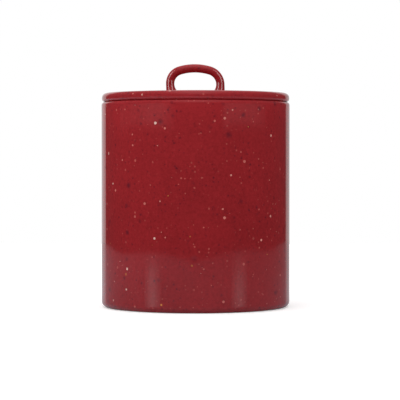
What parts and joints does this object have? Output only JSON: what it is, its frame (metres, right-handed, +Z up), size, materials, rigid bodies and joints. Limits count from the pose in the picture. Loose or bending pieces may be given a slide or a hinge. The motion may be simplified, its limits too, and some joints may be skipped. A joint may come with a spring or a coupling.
{
  "type": "lidded jar",
  "caption": "Round straight-sided stoneware keeper jar with a flat slab lid, a loop handle, and a soft seal round the lid's plug; the lid turns and lifts off.",
  "frame": {"origin": "middle of the foot ring, on the surface that the jar stands on", "axes": "+Z up along the jar's axis, the handle's loop in the XZ plane, the front facing -Y"},
  "size_m": [0.178, 0.178, 0.2296],
  "materials": {
    "red_glaze": "glossy dark red glaze with a fine pale and dark speckle",
    "seal_silicone": "satin milky silicone"
  },
  "bodies": {
    "jar": {"jar_body": "red_glaze"},
    "seal": {"lid_seal": "seal_silicone"},
    "lid": {"lid": "red_glaze", "lid_handle": "red_glaze"}
  },
  "joints": [
    {"name": "lid_lift", "type": "slide", "parent": "jar", "child": "seal", "axis": [0, 0, 1], "range_m": [0, 0.15]},
    {"name": "lid_turn", "type": "hinge", "parent": "seal", "child": "lid", "pos_m": [0, 0, 0.1936], "axis": [0, 0, 1], "continuous": true}
  ]
}
